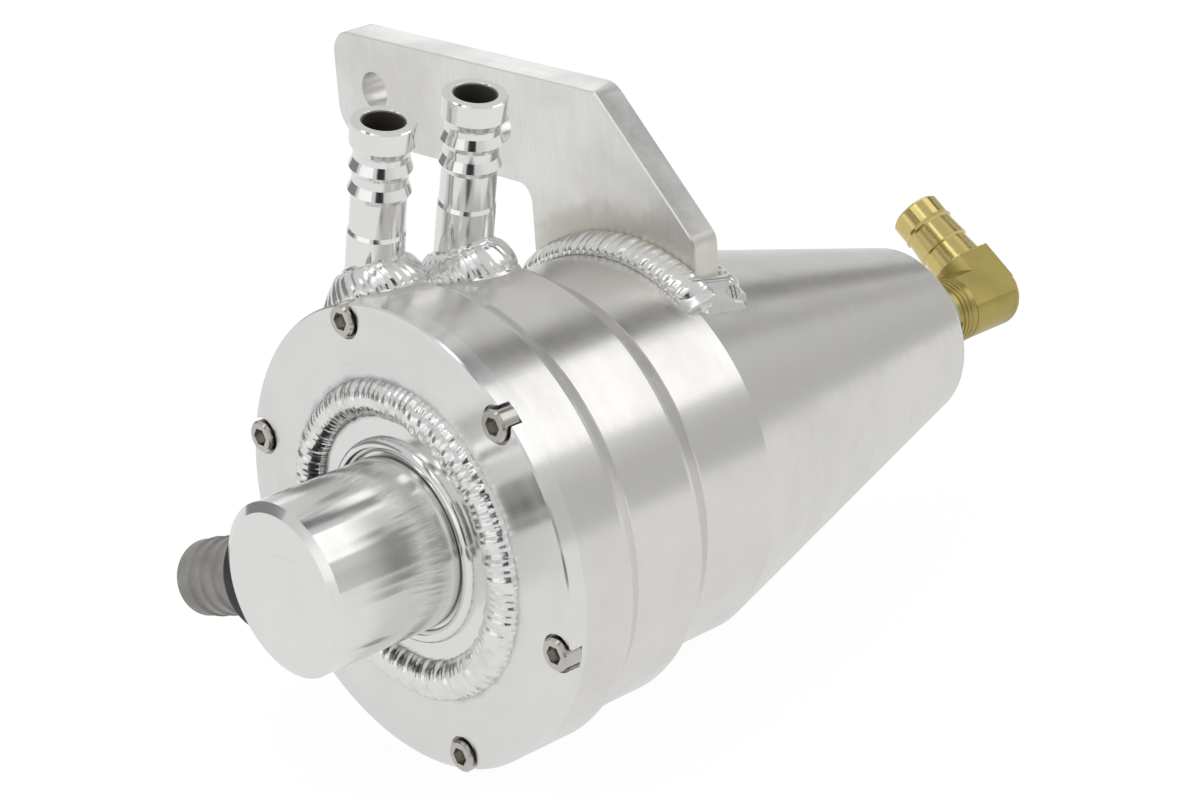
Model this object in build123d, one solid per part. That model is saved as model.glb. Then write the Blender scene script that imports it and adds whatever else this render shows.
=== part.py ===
from build123d import *
import math
import os

os.makedirs("parts", exist_ok=True)

# All sizes are millimetres. Every piece is first built round the can's axis, which runs along Y,
# with y counted from the lid's outer face into the can, and is moved to the bracket's holes at the end.

# Lid, its screws and its seal
lid_radius = 56.0
lid_thickness = 4.8
lid_edge_break = 0.4
register_depth = 3.8
register_fit = 0.1
screw_count = 6
screw_edge_distance = 3.7
screw_circle_radius = lid_radius - screw_edge_distance
first_screw_angle = -16.1
screw_head_radius = 3.96
screw_head_height = 4.83
screw_head_stand = 1.33
screw_thread_radius = 2.41
screw_end_gap = 0.3
screw_hole_run = 0.2
screw_socket_across_flats = 4.0
screw_socket_depth = 2.4
screw_head_chamfer = 0.5
counterbore_radius = 4.6
screw_hole_fit = 0.2
thread_fit = 0.03
seal_squeezed = 1.4
seal_width = 1.75
seal_groove_side_gap = 0.05
seal_groove_edge = 0.9
seal_groove_start = lid_thickness + seal_groove_edge

# Can body, turned from one bar
lid_seat_width = 10.2
bore_radius = lid_radius - lid_seat_width
first_step = 2.5
middle_radius = lid_radius - first_step
second_step = 5.0
neck_radius = middle_radius - second_step
shoulder_length = 13.4
shoulder_end = lid_thickness + shoulder_length
first_bevel_length = 4.4
first_bevel_end = shoulder_end + first_bevel_length
middle_length = 19.4
second_bevel_start = first_bevel_end + middle_length
second_bevel_length = 7.0
second_bevel_end = second_bevel_start + second_bevel_length
neck_length = 21.3
cone_start = second_bevel_end + neck_length
cone_length = 96.4
cone_end = cone_start + cone_length
cone_end_radius = 22.65
wall = 4.2
bevel_break = 0.6
bevel_foot_fillet = 1.2
cone_nose_fillet = 3.0
nose_length = 1.6
drain_boss_radius = 10.8
drain_boss_length = 7.7
drain_floor_depth = 9.7
drain_floor_start = cone_end - drain_floor_depth
drain_floor_bevel = 5.5
drain_floor_end = drain_floor_start + drain_floor_bevel

# Baffle and its ring
baffle_seat_setback = 4.3
baffle_seat = cone_start - baffle_seat_setback
baffle_seat_width = 2.0
baffle_thickness = 1.5
baffle_fit = 0.1
baffle_hole_radius = 3.5
baffle_hole_count = 12
baffle_hole_inset = 8.3
baffle_hole_circle = neck_radius - wall - baffle_hole_inset
ring_thickness = 1.3
ring_width = 4.0
ring_groove_depth = 1.4
ring_gap_angle = 24.0
ring_fit = 0.03

# Spigot on the lid and its weld
flange_radius = 34.0
flange_thickness = 6.0
spigot_radius = 20.8
spigot_end = -35.7
spigot_end_chamfer = 2.2
spigot_end_chamfer_length = 1.3
spigot_cap = 5.0
spigot_wall = 4.8
spigot_bore_radius = spigot_radius - spigot_wall
spigot_bead_gap = 0.6
spigot_bead_inner = spigot_radius + spigot_bead_gap
spigot_bead_width = 3.4
spigot_bead_outer = spigot_bead_inner + spigot_bead_width
spigot_bead_height = 2.0
flange_fit = 0.05
lid_weld_half_width = 4.2
lid_weld_inner = flange_radius - lid_weld_half_width
lid_weld_outer = flange_radius + lid_weld_half_width
lid_weld_height = 2.3
lid_weld_root = 1.8
vortex_tube_wall = 1.4
vortex_tube_radius = spigot_bore_radius + vortex_tube_wall
vortex_tube_seat = -3.0
vortex_tube_gap = 10.0
vortex_tube_end = baffle_seat - vortex_tube_gap

# Hose barbs: radii and lengths counted from the mouth
hose_bore_radius = 4.91
hose_bore_chamfer = 0.4
hose_rim_radius = 7.6
hose_rim_chamfer = 0.3
hose_rim_length = 5.3
hose_rim_back = 2.1
hose_ridge_radius = 7.36
hose_tube_radius = 6.5
hose_base_radius = 6.82
hose_ridge_pitch = 5.9
hose_ridge_count = 2
hose_ridge_ramp = 2.3
hose_ridge_back = 1.5
hose_base_start = 27.0
hose_base_chamfer = 1.0
barb_mouth_chamfer = 0.7
barb_lip_length = 1.0
barb_lean = 13.2
front_barb_inset = 21.1
front_barb_offset = front_barb_inset - lid_radius
front_barb_from_lid = 11.2
front_barb_y = lid_thickness + front_barb_from_lid
front_barb_stand = 31.5
front_barb_tip = lid_radius + front_barb_stand
rear_barb_inset = 26.3
rear_barb_offset = rear_barb_inset - middle_radius
barb_spacing = 20.0
rear_barb_y = front_barb_y + barb_spacing
rear_barb_stand = 38.8
rear_barb_tip = middle_radius + rear_barb_stand
barb_reach_inside = 0.5
barb_drill_run = 10.0

# Weld round a hose barb: two ovals square to the can's surface, the upper one shifted uphill
weld_foot_level = -2.2
weld_foot_half_length = 15.3
weld_foot_half_width = 12.6
weld_top_level = 6.3
weld_top_half_length = 7.7
weld_top_half_width = 7.1
weld_top_shift = 3.8
weld_root_level = -6.0

# Mounting bracket, outline in x and z
plate_setback = 4.7
plate_y = cone_start + plate_setback
plate_thickness = 9.5
plate_left = -108.8
plate_right = 21.8
plate_side_lean = 1.8
plate_right_at_back = plate_right - plate_side_lean
plate_foot_depth = 23.5
plate_foot = neck_radius - plate_foot_depth
plate_rise = 37.35
plate_top = neck_radius + plate_rise
arm_height = 28.0
arm_bottom = plate_top - arm_height
neck_left = -35.0
slope_width = 31.0
slope_top_x = plate_right - slope_width
slope_width_at_back = 31.8
slope_top_x_at_back = plate_right_at_back - slope_width_at_back
plate_left_top_corner = 6.5
plate_left_bottom_corner = 8.0
slope_top_corner = 2.0
slope_top_corner_at_back = 7.0
slope_bottom_corner = 4.5
inner_corner = 4.5
plate_edge_break = 0.4
bolt_hole_radius = 5.0
bolt_spacing = 47.6
bolt_inset = 39.55
bolt_middle_x = plate_left + bolt_inset
front_weld_height = 3.8
front_weld_reach = neck_radius + front_weld_height
front_weld_length = 7.5
front_weld_foot = plate_y - front_weld_length
back_weld_leg = 4.6
weld_start_angle = -42.0
weld_end_angle = 33.0
weld_crown = 0.9
weld_root_depth = 3.0

# Drain elbow, with the angle of its barb from X towards Z
elbow_angle = 142.3
elbow_body_radius = 8.8
elbow_half_flats = 7.3
elbow_thread_shown = 12.3
elbow_arm = 12.3
elbow_heel = 5.9
elbow_branch_end = 10.8
elbow_heel_start = -0.9
elbow_barb_tip = 30.7
elbow_rim_radius = 6.9
elbow_ridge_radius = 7.26
elbow_groove_radius = 6.7
elbow_bore_radius = 4.75
elbow_land = 6.65
elbow_pitch = 6.75
elbow_ridge_count = 3
elbow_step = 0.5
elbow_corner = 3.0
pipe_thread_radius = 8.35
pipe_thread_taper = 1.0 / 32.0
pipe_thread_engaged = 10.5
sealant_thickness = 0.45
sealant_length = 5.3

# Outlet barb and the grommet in the spigot's side, with its angle from X towards Z
outlet_y = -19.0
outlet_angle = 199.0
outlet_stand = 35.2
outlet_tip = spigot_radius + outlet_stand
outlet_rim_radius = 9.2
outlet_ridge_radius = 9.53
outlet_groove_radius = 9.05
outlet_bore_radius = 6.2
outlet_land = 5.9
outlet_pitch = 5.3
outlet_ridge_count = 4
outlet_step = 0.6
outlet_stem_radius = 7.8
outlet_stem_run = 3.0
outlet_stem_end = spigot_bore_radius - outlet_stem_run
grommet_radius = 14.6
grommet_stand = 6.5
grommet_outer_face = spigot_radius + grommet_stand
grommet_corner = 2.0
grommet_neck_radius = 10.5
grommet_lip_radius = 11.4
grommet_lip = 2.2

# Values that follow from the sizes above
cone_slope = (neck_radius - cone_end_radius) / (cone_end - cone_start)
wall_across = wall / math.cos(math.atan(cone_slope))
can_end = cone_end + nose_length
boss_face = can_end + drain_boss_length
elbow_shoulder = boss_face + elbow_thread_shown
elbow_barb_y = elbow_shoulder + elbow_arm
elbow_body_end = elbow_barb_y + elbow_heel
bolt_z = (plate_top + arm_bottom) / 2
plate_back = plate_y + plate_thickness
register_end = lid_thickness + register_depth
register_radius = bore_radius - register_fit
seal_groove_radius = bore_radius - seal_squeezed
seal_groove_width = seal_width + 2 * seal_groove_side_gap
counterbore_floor = screw_head_height - screw_head_stand
screw_end = front_barb_y - hose_base_radius - screw_end_gap
baffle_top = baffle_seat - baffle_thickness
inner_neck_radius = neck_radius - wall
to_bracket = Pos(-bolt_middle_x, -plate_back, -bolt_z)


def cone_radius(y):
    """Outer radius of the cone at y."""
    return neck_radius - cone_slope * (y - cone_start)


def turned(points):
    """Solid turned about the can's axis from an outline of (radius, y) points."""
    return revolve(make_face(Polyline(*points, close=True)), Axis.Y)


def turned_up(points):
    """Solid turned about Z from an outline of (radius, z) points."""
    corners = [(radius, 0, z) for radius, z in points]
    return revolve(make_face(Polyline(*corners, close=True)), Axis.Z)


def disc(radius, start, end):
    """Plain cylinder on the can's axis."""
    return turned([(0, start), (radius, start), (radius, end), (0, end)])


def ring_edges(shape, radius, y):
    """The circular edges of a turned shape at one radius and one y."""
    circles = shape.edges().filter_by(GeomType.CIRCLE)
    return circles.filter_by(lambda e: abs(e.radius - radius) < 0.01 and abs(e.arc_center.Y - y) < 0.01)


def around_axis(angle, radius):
    """Place on a circle round the can's axis, with the angle counted from Z towards X."""
    turn = math.radians(angle)
    return Pos(radius * math.sin(turn), 0, radius * math.cos(turn))


def along_y(radius, start, end):
    """Cylinder along Y, from start to end, with its middle at x = z = 0."""
    return Pos(0, (start + end) / 2, 0) * Rot(90, 0, 0) * Cylinder(radius, end - start)


def radial(angle, y):
    """Frame whose Z points out from the can's axis, at an angle from X towards Z."""
    return Pos(0, y, 0) * Rot(0, 90 - angle, 0)


def barb_outline(rim, ridge, groove, land, pitch, count, step):
    """Outer (radius, depth) points of a hose barb's ridges, from its mouth inwards."""
    points = [(rim - barb_mouth_chamfer, 0), (rim, barb_mouth_chamfer), (rim, land - barb_lip_length)]
    for number in range(count):
        depth = land + number * pitch
        points += [(ridge, depth), (groove, depth + step)]
    return points


def body_outline():
    """The can's outer (radius, y) outline, from the lid's seat to the end of the cone."""
    return [
        (0, lid_thickness),
        (lid_radius, lid_thickness),
        (lid_radius, shoulder_end),
        (middle_radius, first_bevel_end),
        (middle_radius, second_bevel_start),
        (neck_radius, second_bevel_end),
        (neck_radius, cone_start),
        (cone_radius(can_end), can_end),
        (0, can_end),
    ]


def can_outside():
    """The can's outer form without its bore."""
    shape = turned(body_outline())
    for radius, y in ((lid_radius, shoulder_end), (middle_radius, second_bevel_start)):
        shape = chamfer(ring_edges(shape, radius, y), bevel_break)
    for radius, y in ((middle_radius, first_bevel_end), (neck_radius, second_bevel_end)):
        shape = fillet(ring_edges(shape, radius, y), bevel_foot_fillet)
    shape = fillet(ring_edges(shape, cone_radius(can_end), can_end), cone_nose_fillet)
    return shape + disc(drain_boss_radius, can_end - wall, boss_face)


def can_inside():
    """The space bored out of the can, down to the drain port."""
    seat_radius = inner_neck_radius - baffle_seat_width
    inner_cone_start = cone_start + (neck_radius - wall_across - seat_radius) / cone_slope
    floor_radius = cone_radius(drain_floor_start) - wall_across
    groove_radius = inner_neck_radius + ring_groove_depth
    bore = turned([
        (0, lid_thickness - 1),
        (bore_radius, lid_thickness - 1),
        (bore_radius, second_bevel_start),
        (inner_neck_radius, second_bevel_end),
        (inner_neck_radius, baffle_seat),
        (seat_radius, baffle_seat),
        (seat_radius, inner_cone_start),
        (floor_radius, drain_floor_start),
        (port_radius(drain_floor_end), drain_floor_end),
        (port_radius(boss_face + 1), boss_face + 1),
        (0, boss_face + 1),
    ])
    return bore + disc(groove_radius, baffle_top - ring_thickness, baffle_top)


def port_radius(y):
    """Radius of the tapered drain port."""
    return pipe_thread_radius - pipe_thread_taper * (boss_face - y)


def placed_barb(shape, offset, y):
    """Moves a barb built along Z to its offset from the can's axis, and leans it with the bracket."""
    return Rot(0, barb_lean, 0) * Pos(offset, y, 0) * shape


def barb_inner_end(offset):
    """Height at which a hose barb ends, just inside the can's bore."""
    return math.sqrt(bore_radius ** 2 - offset ** 2) - barb_reach_inside


def barb_hole(offset, y, tip):
    """The drilled hole that takes a hose barb."""
    start = barb_inner_end(offset) - barb_drill_run
    drill = Pos(0, 0, (start + tip) / 2) * Cylinder(hose_base_radius, tip - start)
    return placed_barb(drill, offset, y)


def can_body():
    shape = can_outside() - can_inside()
    shape -= barb_hole(front_barb_offset, front_barb_y, front_barb_tip)
    shape -= barb_hole(rear_barb_offset, rear_barb_y, rear_barb_tip)
    for number in range(screw_count):
        place = around_axis(screw_angle(number), screw_circle_radius)
        hole = along_y(screw_thread_radius + thread_fit, lid_thickness, screw_end + screw_hole_run)
        shape -= place * hole
    return shape


def screw_angle(number):
    return first_screw_angle + number * 360 / screw_count


def lid():
    shape = turned([
        (flange_radius, lid_weld_root),
        (lid_weld_outer, 0),
        (lid_radius - lid_edge_break, 0),
        (lid_radius, lid_edge_break),
        (lid_radius, lid_thickness),
        (register_radius, lid_thickness),
        (register_radius, seal_groove_start),
        (seal_groove_radius, seal_groove_start),
        (seal_groove_radius, seal_groove_start + seal_groove_width),
        (register_radius, seal_groove_start + seal_groove_width),
        (register_radius, register_end),
        (flange_radius, register_end),
    ])
    for number in range(screw_count):
        place = around_axis(screw_angle(number), screw_circle_radius)
        shape -= place * along_y(counterbore_radius, -1, counterbore_floor)
        shape -= place * along_y(screw_thread_radius + screw_hole_fit, 0, lid_thickness + 1)
    return shape


def lid_seal():
    middle_radius_of_seal = bore_radius - seal_squeezed / 2
    middle_y = seal_groove_start + seal_groove_width / 2
    section = Circle(seal_width / 2) & Rectangle(seal_squeezed, seal_width)
    return revolve(Pos(middle_radius_of_seal, middle_y) * section, Axis.Y)


def lid_screw(number):
    head = along_y(screw_head_radius, -screw_head_stand, counterbore_floor)
    head = chamfer(head.edges().filter_by(GeomType.CIRCLE).sort_by(Axis.Y)[0], screw_head_chamfer)
    shank = along_y(screw_thread_radius, counterbore_floor, screw_end)
    hexagon = RegularPolygon(screw_socket_across_flats / 2, 6, major_radius=False)
    socket = extrude(Plane.XZ * hexagon, amount=-screw_socket_depth)
    shape = head + shank - Pos(0, -screw_head_stand, 0) * socket
    return around_axis(screw_angle(number), screw_circle_radius) * shape


def lid_spigot():
    """The closed tube on the lid, with its flange, bead and cross bore, turned from one bar."""
    chamber_start = spigot_end + spigot_cap
    tube_radius = vortex_tube_radius + thread_fit
    bead_middle = (spigot_bead_inner + spigot_bead_outer) / 2
    outline = [
        Line((0, spigot_end), (spigot_radius - spigot_end_chamfer, spigot_end)),
        Line((spigot_radius - spigot_end_chamfer, spigot_end), (spigot_radius, spigot_end + spigot_end_chamfer_length)),
        Line((spigot_radius, spigot_end + spigot_end_chamfer_length), (spigot_radius, 0)),
        Line((spigot_radius, 0), (spigot_bead_inner, 0)),
        ThreePointArc((spigot_bead_inner, 0), (bead_middle, -spigot_bead_height), (spigot_bead_outer, 0)),
        Line((spigot_bead_outer, 0), (lid_weld_inner, 0)),
        Line((lid_weld_inner, 0), (flange_radius - flange_fit, lid_weld_root)),
        Line((flange_radius - flange_fit, lid_weld_root), (flange_radius - flange_fit, flange_thickness)),
        Line((flange_radius - flange_fit, flange_thickness), (tube_radius, flange_thickness)),
        Line((tube_radius, flange_thickness), (tube_radius, vortex_tube_seat)),
        Line((tube_radius, vortex_tube_seat), (spigot_bore_radius, vortex_tube_seat)),
        Line((spigot_bore_radius, vortex_tube_seat), (spigot_bore_radius, chamber_start)),
        Line((spigot_bore_radius, chamber_start), (0, chamber_start)),
        Line((0, chamber_start), (0, spigot_end)),
    ]
    shape = revolve(make_face(outline), Axis.Y)
    cross_bore = Cylinder(grommet_neck_radius, spigot_radius * 2, align=(Align.CENTER, Align.CENTER, Align.MIN))
    return shape - radial(outlet_angle, outlet_y) * cross_bore


def spigot_weld():
    weld_middle = (lid_weld_inner + lid_weld_outer) / 2
    outline = [
        ThreePointArc((lid_weld_inner, 0), (weld_middle, -lid_weld_height), (lid_weld_outer, 0)),
        Line((lid_weld_outer, 0), (flange_radius, lid_weld_root)),
        Line((flange_radius, lid_weld_root), (flange_radius - flange_fit, lid_weld_root)),
        Line((flange_radius - flange_fit, lid_weld_root), (lid_weld_inner, 0)),
    ]
    return revolve(make_face(outline), Axis.Y)


def vortex_tube():
    inside = vortex_tube_radius - vortex_tube_wall
    return disc(vortex_tube_radius, vortex_tube_seat, vortex_tube_end) - disc(inside, vortex_tube_seat, vortex_tube_end)


def hose_barb(offset, y, tip):
    """One hose barb, turned from bar, that slips into its hole and is welded there."""
    points = [
        (hose_bore_radius, hose_bore_chamfer),
        (hose_bore_radius + hose_bore_chamfer, 0),
        (hose_rim_radius - hose_rim_chamfer, 0),
        (hose_rim_radius, hose_rim_chamfer),
        (hose_rim_radius, hose_rim_length),
        (hose_tube_radius, hose_rim_length + hose_rim_back),
    ]
    for number in range(hose_ridge_count):
        crest = hose_rim_length + (number + 1) * hose_ridge_pitch
        points += [
            (hose_tube_radius, crest - hose_ridge_ramp),
            (hose_ridge_radius, crest),
            (hose_tube_radius, crest + hose_ridge_back),
        ]
    length = tip - barb_inner_end(offset)
    points += [
        (hose_tube_radius, hose_base_start),
        (hose_base_radius, hose_base_start + hose_base_chamfer),
        (hose_base_radius, length),
        (hose_bore_radius, length),
    ]
    return placed_barb(turned_up([(radius, tip - depth) for radius, depth in points]), offset, y)


def weld_oval(level):
    """Section of a barb's weld at a height above the can's surface."""
    along = (level - weld_foot_level) / (weld_top_level - weld_foot_level)
    half_length = weld_foot_half_length + along * (weld_top_half_length - weld_foot_half_length)
    half_width = weld_foot_half_width + along * (weld_top_half_width - weld_foot_half_width)
    return Pos(along * weld_top_shift, 0, level) * Ellipse(half_length, half_width)


def barb_weld(offset, y, surface_radius):
    """The fillet weld round a hose barb, cut by the can and the barb that it joins."""
    surface_z = math.sqrt(surface_radius ** 2 - offset ** 2)
    surface_tilt = math.degrees(math.atan(offset / surface_z))
    bead = loft([weld_oval(weld_root_level), weld_oval(weld_top_level)], ruled=True)
    bead = Pos(offset, y, surface_z) * Rot(0, surface_tilt, 0) * bead
    stem = Pos(offset, y, surface_z) * Cylinder(hose_base_radius, 2 * lid_radius)
    lid_side = Pos(0, lid_thickness - lid_radius, 0) * Box(4 * lid_radius, 2 * lid_radius, 4 * lid_radius)
    return Rot(0, barb_lean, 0) * (bead - stem - lid_side) - can_outside()


def bracket_outline(right, slope_top, top_corner, y):
    """The bracket's outline at y; its sloped side and right side are cut slightly out of square."""
    corners = [
        (plate_left, arm_bottom, plate_left_bottom_corner),
        (plate_left, plate_top, plate_left_top_corner),
        (slope_top, plate_top, top_corner),
        (right, plate_top - (right - slope_top), slope_bottom_corner),
        (right, plate_foot, 0),
        (neck_left, plate_foot, 0),
        (neck_left, arm_bottom, inner_corner),
    ]
    face = make_face(Polyline(*[(x, z) for x, z, radius in corners], close=True))
    for x, z, radius in corners:
        if radius > 0:
            face = fillet(face.vertices().sort_by_distance((x, z))[0], radius)
    return Pos(0, y, 0) * (Plane.XZ * face)


def mounting_bracket():
    front = bracket_outline(plate_right, slope_top_x, slope_top_corner, plate_y)
    back = bracket_outline(plate_right_at_back, slope_top_x_at_back, slope_top_corner_at_back, plate_back)
    plate = loft([front, back], ruled=True)
    for y in (plate_y, plate_back):
        rim = plate.edges().filter_by(lambda e: abs(e.center().Y - y) < 0.01)
        outer = rim.filter_by(lambda e: e.center().Z > plate_foot + plate_edge_break)
        plate = chamfer(outer, plate_edge_break)
    for side in (-1, 1):
        place = Pos(bolt_middle_x + side * bolt_spacing / 2, 0, bolt_z)
        plate -= place * along_y(bolt_hole_radius, plate_y - 1, plate_back + 1)
    return plate - can_outside()


def swept_round(face, start_angle, end_angle):
    """Turns a face of (radius, y) points part of the way round the can, from Z towards X."""
    return revolve(Rot(0, start_angle - 90, 0) * face, Axis.Y, revolution_arc=end_angle - start_angle)


def bracket_weld(plate_face, reach, foot_y, side):
    """Fillet weld between one face of the bracket and the can, crowned by an arc."""
    foot_radius = min(neck_radius, cone_radius(foot_y))
    root_radius = cone_radius(plate_back) - weld_root_depth
    leg = math.hypot(reach - foot_radius, foot_y - plate_face)
    crown = (
        (reach + foot_radius) / 2 + weld_crown * abs(foot_y - plate_face) / leg,
        (plate_face + foot_y) / 2 + side * weld_crown * (reach - foot_radius) / leg,
    )
    outline = [
        ThreePointArc((reach, plate_face), crown, (foot_radius, foot_y)),
        Line((foot_radius, foot_y), (root_radius, foot_y)),
        Line((root_radius, foot_y), (root_radius, plate_face)),
        Line((root_radius, plate_face), (reach, plate_face)),
    ]
    return swept_round(make_face(outline), weld_start_angle, weld_end_angle) - can_outside()


def bracket_weld_front():
    return bracket_weld(plate_y, front_weld_reach, front_weld_foot, -1)


def bracket_weld_back():
    return bracket_weld(plate_back, cone_radius(plate_back) + back_weld_leg, plate_back + back_weld_leg, 1)


def drain_elbow():
    """The brass elbow: two round arms with flats, a tapered thread and a hose barb."""
    arm = along_y(elbow_body_radius, elbow_shoulder, elbow_body_end)
    arm = fillet(arm.edges().filter_by(GeomType.CIRCLE).sort_by(Axis.Y)[-1], elbow_corner)
    branch = Cylinder(elbow_body_radius, elbow_branch_end, align=(Align.CENTER, Align.CENTER, Align.MIN))
    branch = radial(elbow_angle, elbow_barb_y) * branch
    flats = Box(2 * elbow_half_flats, 4 * lid_radius, 4 * lid_radius)
    flats = radial(elbow_angle, elbow_barb_y) * flats
    heel_length = elbow_branch_end - elbow_heel_start
    heel = Box(2 * elbow_half_flats, elbow_body_end - elbow_barb_y, heel_length, align=Align.MIN)
    heel = Pos(-elbow_half_flats, 0, elbow_heel_start) * heel
    body = (arm + branch) & flats
    body += radial(elbow_angle, elbow_barb_y) * heel
    thread_end = boss_face - pipe_thread_engaged
    thread = turned([
        (0, thread_end),
        (port_radius(thread_end) - thread_fit, thread_end),
        (port_radius(elbow_shoulder) - thread_fit, elbow_shoulder),
        (0, elbow_shoulder),
    ])
    points = [(0, 0)]
    points += barb_outline(elbow_rim_radius, elbow_ridge_radius, elbow_groove_radius, elbow_land,
                           elbow_pitch, elbow_ridge_count, elbow_step)
    points = [(radius, elbow_barb_tip - depth) for radius, depth in points]
    points += [(elbow_groove_radius, 0), (0, 0)]
    barb = radial(elbow_angle, elbow_barb_y) * turned_up(points)
    drill_down = along_y(elbow_bore_radius, thread_end, elbow_barb_y)
    drill_out = Cylinder(elbow_bore_radius, elbow_barb_tip, align=(Align.CENTER, Align.CENTER, Align.MIN))
    return body + thread + barb - drill_down - radial(elbow_angle, elbow_barb_y) * drill_out


def thread_sealant():
    end = boss_face + sealant_length
    return turned([
        (port_radius(boss_face) - thread_fit, boss_face),
        (port_radius(boss_face) + sealant_thickness, boss_face),
        (port_radius(end) + sealant_thickness / 2, end),
        (port_radius(end) - thread_fit, end),
    ])


def outlet_grommet():
    """Rubber grommet in the spigot's cross bore, its back moulded to the spigot's curve."""
    through = Align.CENTER, Align.CENTER, Align.MIN
    collar = Cylinder(grommet_radius, grommet_outer_face, align=through)
    collar = fillet(collar.edges().filter_by(GeomType.CIRCLE).sort_by(Axis.Z)[-1], grommet_corner)
    collar = radial(outlet_angle, outlet_y) * collar - along_y(spigot_radius, spigot_end, 0)
    neck = radial(outlet_angle, outlet_y) * Cylinder(grommet_neck_radius, spigot_radius, align=through)
    neck -= along_y(spigot_bore_radius - grommet_lip, spigot_end, 0)
    lip = radial(outlet_angle, outlet_y) * Cylinder(grommet_lip_radius, spigot_radius, align=through)
    lip = (lip & along_y(spigot_bore_radius, spigot_end, 0)) - along_y(spigot_bore_radius - grommet_lip, spigot_end, 0)
    hole = radial(outlet_angle, outlet_y) * Cylinder(outlet_stem_radius + thread_fit, 2 * grommet_outer_face, align=through)
    return collar + neck + lip - hole


def outlet_barb():
    points = [(outlet_bore_radius, 0)]
    points += barb_outline(outlet_rim_radius, outlet_ridge_radius, outlet_groove_radius, outlet_land,
                           outlet_pitch, outlet_ridge_count, outlet_step)
    points = [(radius, outlet_tip - depth) for radius, depth in points]
    points += [
        (outlet_groove_radius, grommet_outer_face),
        (outlet_stem_radius, grommet_outer_face),
        (outlet_stem_radius, outlet_stem_end),
        (outlet_bore_radius, outlet_stem_end),
    ]
    return radial(outlet_angle, outlet_y) * turned_up(points)


def oil_baffle():
    shape = disc(inner_neck_radius - baffle_fit, baffle_top, baffle_seat)
    for number in range(baffle_hole_count):
        place = around_axis(number * 360 / baffle_hole_count, baffle_hole_circle)
        shape -= place * along_y(baffle_hole_radius, baffle_top, baffle_seat)
    return shape


def baffle_ring():
    """Spring ring in its groove above the baffle, open at one place."""
    outside = inner_neck_radius + ring_groove_depth - baffle_fit
    inside = inner_neck_radius - ring_width + ring_groove_depth
    points = [(outside, baffle_top - ring_thickness + ring_fit), (outside, baffle_top)]
    points += [(inside, baffle_top), (inside, baffle_top - ring_thickness + ring_fit)]
    face = make_face(Polyline(*points, close=True))
    return swept_round(face, 180 + ring_gap_angle / 2, 540 - ring_gap_angle / 2)


nodes = {
    "can_body": can_body(),
    "lid": lid(),
    "lid_seal": lid_seal(),
    "lid_spigot": lid_spigot(),
    "spigot_weld": spigot_weld(),
    "vortex_tube": vortex_tube(),
    "front_hose_barb": hose_barb(front_barb_offset, front_barb_y, front_barb_tip),
    "rear_hose_barb": hose_barb(rear_barb_offset, rear_barb_y, rear_barb_tip),
    "front_barb_weld": barb_weld(front_barb_offset, front_barb_y, lid_radius),
    "rear_barb_weld": barb_weld(rear_barb_offset, rear_barb_y, middle_radius),
    "mounting_bracket": mounting_bracket(),
    "bracket_weld_front": bracket_weld_front(),
    "bracket_weld_back": bracket_weld_back(),
    "drain_elbow": drain_elbow(),
    "thread_sealant": thread_sealant(),
    "outlet_grommet": outlet_grommet(),
    "outlet_barb": outlet_barb(),
    "oil_baffle": oil_baffle(),
    "baffle_ring": baffle_ring(),
}
for number in range(screw_count):
    nodes[f"lid_screw_{number + 1}"] = lid_screw(number)
nodes["rear_barb_weld"] -= nodes["front_barb_weld"]
for name, shape in nodes.items():
    export_step(to_bracket * shape, f"parts/{name}.step")
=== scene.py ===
import math
import random
import bpy
from mathutils import Matrix, Quaternion, Vector


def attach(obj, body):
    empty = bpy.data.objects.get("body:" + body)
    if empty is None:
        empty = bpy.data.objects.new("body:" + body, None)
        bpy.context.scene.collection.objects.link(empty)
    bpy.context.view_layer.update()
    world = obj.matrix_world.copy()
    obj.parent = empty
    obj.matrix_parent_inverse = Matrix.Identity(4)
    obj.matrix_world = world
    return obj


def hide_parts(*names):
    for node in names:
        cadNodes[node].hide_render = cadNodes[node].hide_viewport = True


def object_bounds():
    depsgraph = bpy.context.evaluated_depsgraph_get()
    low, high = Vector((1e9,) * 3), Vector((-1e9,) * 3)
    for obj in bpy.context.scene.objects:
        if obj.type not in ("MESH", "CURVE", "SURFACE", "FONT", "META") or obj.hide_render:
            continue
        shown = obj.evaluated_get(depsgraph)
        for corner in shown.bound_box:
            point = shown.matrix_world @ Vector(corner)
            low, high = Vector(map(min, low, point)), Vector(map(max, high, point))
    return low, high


print("loading the packed can")
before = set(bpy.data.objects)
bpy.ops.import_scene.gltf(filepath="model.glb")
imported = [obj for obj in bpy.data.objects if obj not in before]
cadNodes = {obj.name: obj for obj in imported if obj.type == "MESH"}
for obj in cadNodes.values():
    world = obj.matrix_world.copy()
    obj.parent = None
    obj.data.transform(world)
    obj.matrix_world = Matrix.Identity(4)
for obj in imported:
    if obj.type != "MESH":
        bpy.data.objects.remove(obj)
bpy.ops.object.select_all(action="DESELECT")
cadLow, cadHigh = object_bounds()
random.seed(7)

mm = 0.001
canCentre = Vector((69.25, 0, -71.85)) * mm      # the can's axis runs along Y through here
lidFace = -84.5 * mm                             # y of the lid's outer face
barbLean = math.radians(13.2)                    # both hose barbs lean this far from Z towards X
hoseBarbs = {                                    # y is counted from the lid's outer face, in mm
    "front": {"offset": -34.9, "y": 16.0, "surfaceRadius": 56.0},
    "rear": {"offset": -27.2, "y": 36.0, "surfaceRadius": 53.5},
}


# small helpers for operators

def selectOnly(*pieces):
    if bpy.context.object and bpy.context.object.mode != "OBJECT":
        bpy.ops.object.mode_set(mode="OBJECT")
    bpy.ops.object.select_all(action="DESELECT")
    for piece in pieces:
        piece.select_set(True)
    bpy.context.view_layer.objects.active = pieces[0]


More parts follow.
